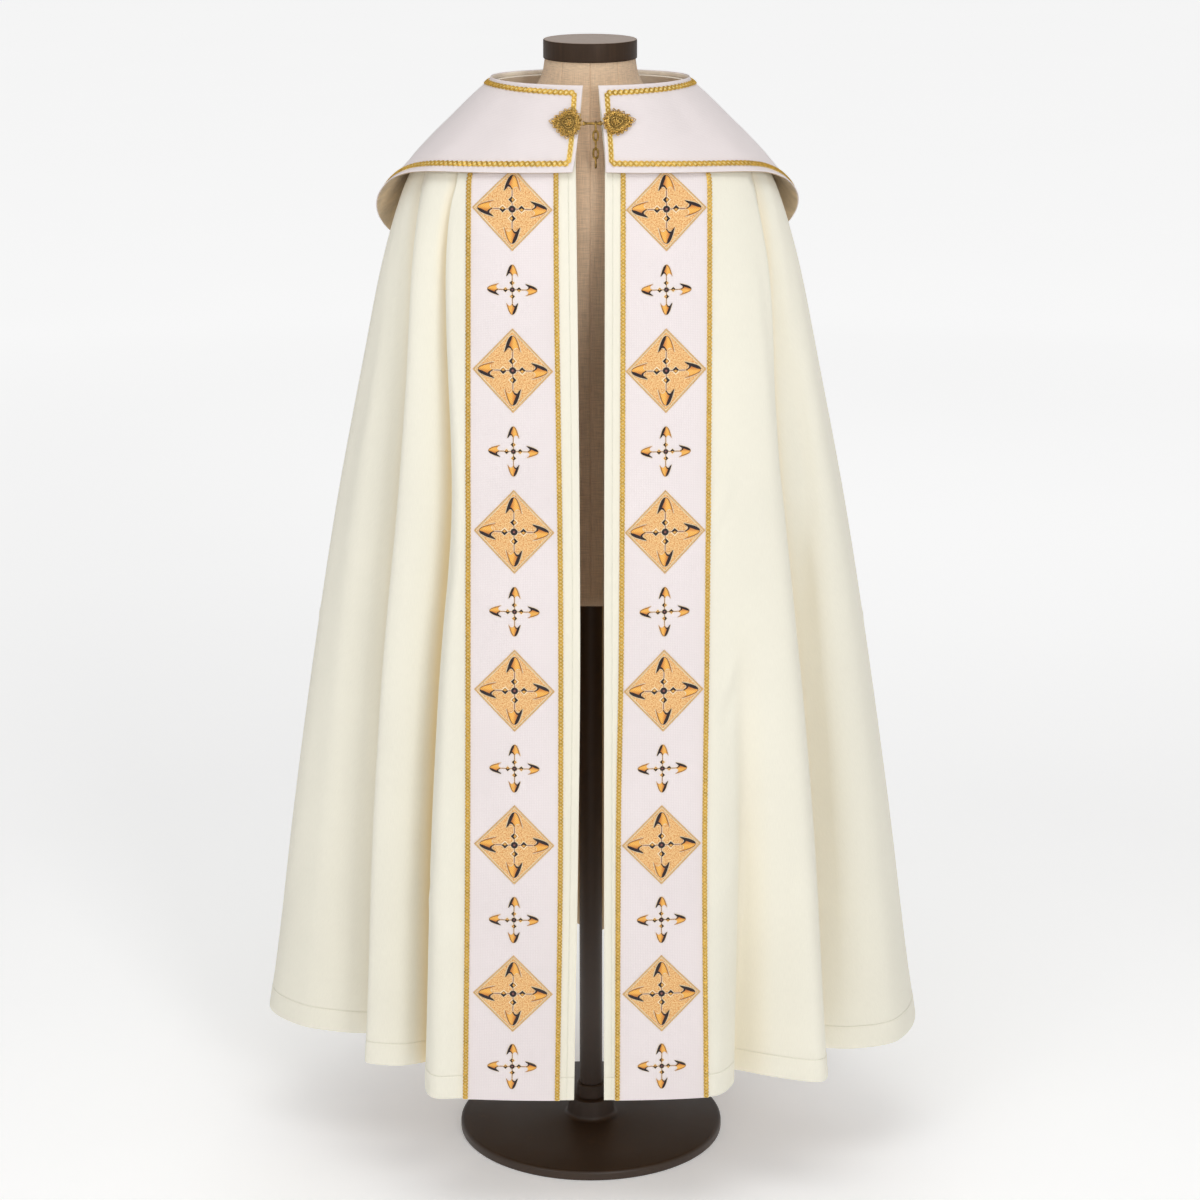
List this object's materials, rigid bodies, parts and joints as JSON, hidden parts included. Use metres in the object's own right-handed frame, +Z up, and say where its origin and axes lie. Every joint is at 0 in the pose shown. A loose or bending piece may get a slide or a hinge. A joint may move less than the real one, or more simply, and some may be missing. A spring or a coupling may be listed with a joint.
{
  "type": "cope vestment on a dress form",
  "caption": "Full-length cream cope with white orphreys, gold braid, a stiff white shoulder collar and a brass clasp, draped on a limbless linen dress form with a pole stand.",
  "frame": {"origin": "on the floor, under the middle of the whole object's box", "axes": "+Z up; the wearer's front faces -Y; +X is on the viewer's right when the front is looked at"},
  "size_m": [0.9116, 0.6666, 1.533],
  "materials": {
    "cream_cloth": "smooth matte woven cloth with a slight sheen",
    "white_cloth": "white cloth with a faint small weave",
    "gold_braid": "metallic gold gimp braid",
    "collar_lining": "taupe satin",
    "form_linen": "natural linen",
    "form_cap": "dark brown lacquer, satin",
    "stand_metal": "dark brown paint, satin",
    "clasp_brass": "antique brass, worn bright on the raised parts"
  },
  "bodies": {
    "root": {"form_torso": "form_linen", "neck_cap": "form_cap", "stand_pole": "stand_metal", "stand_base": "stand_metal", "cope_front_left": "cream_cloth", "cope_back_left": "cream_cloth", "cope_back_right": "cream_cloth", "cope_front_right": "cream_cloth", "orphrey_left": "white_cloth", "orphrey_right": "white_cloth", "braid_left_inner": "gold_braid", "braid_left_outer": "gold_braid", "braid_right_inner": "gold_braid", "braid_right_outer": "gold_braid", "collar": "white_cloth", "collar_lining": "collar_lining", "collar_braid": "gold_braid", "clasp_plate_left": "clasp_brass", "clasp_plate_right": "clasp_brass", "clasp_hook": "clasp_brass", "clasp_eye": "clasp_brass", "chain_link_1": "clasp_brass", "chain_link_2": "clasp_brass", "chain_link_3": "clasp_brass", "chain_link_4": "clasp_brass", "chain_link_5": "clasp_brass"}
  },
  "joints": []
}
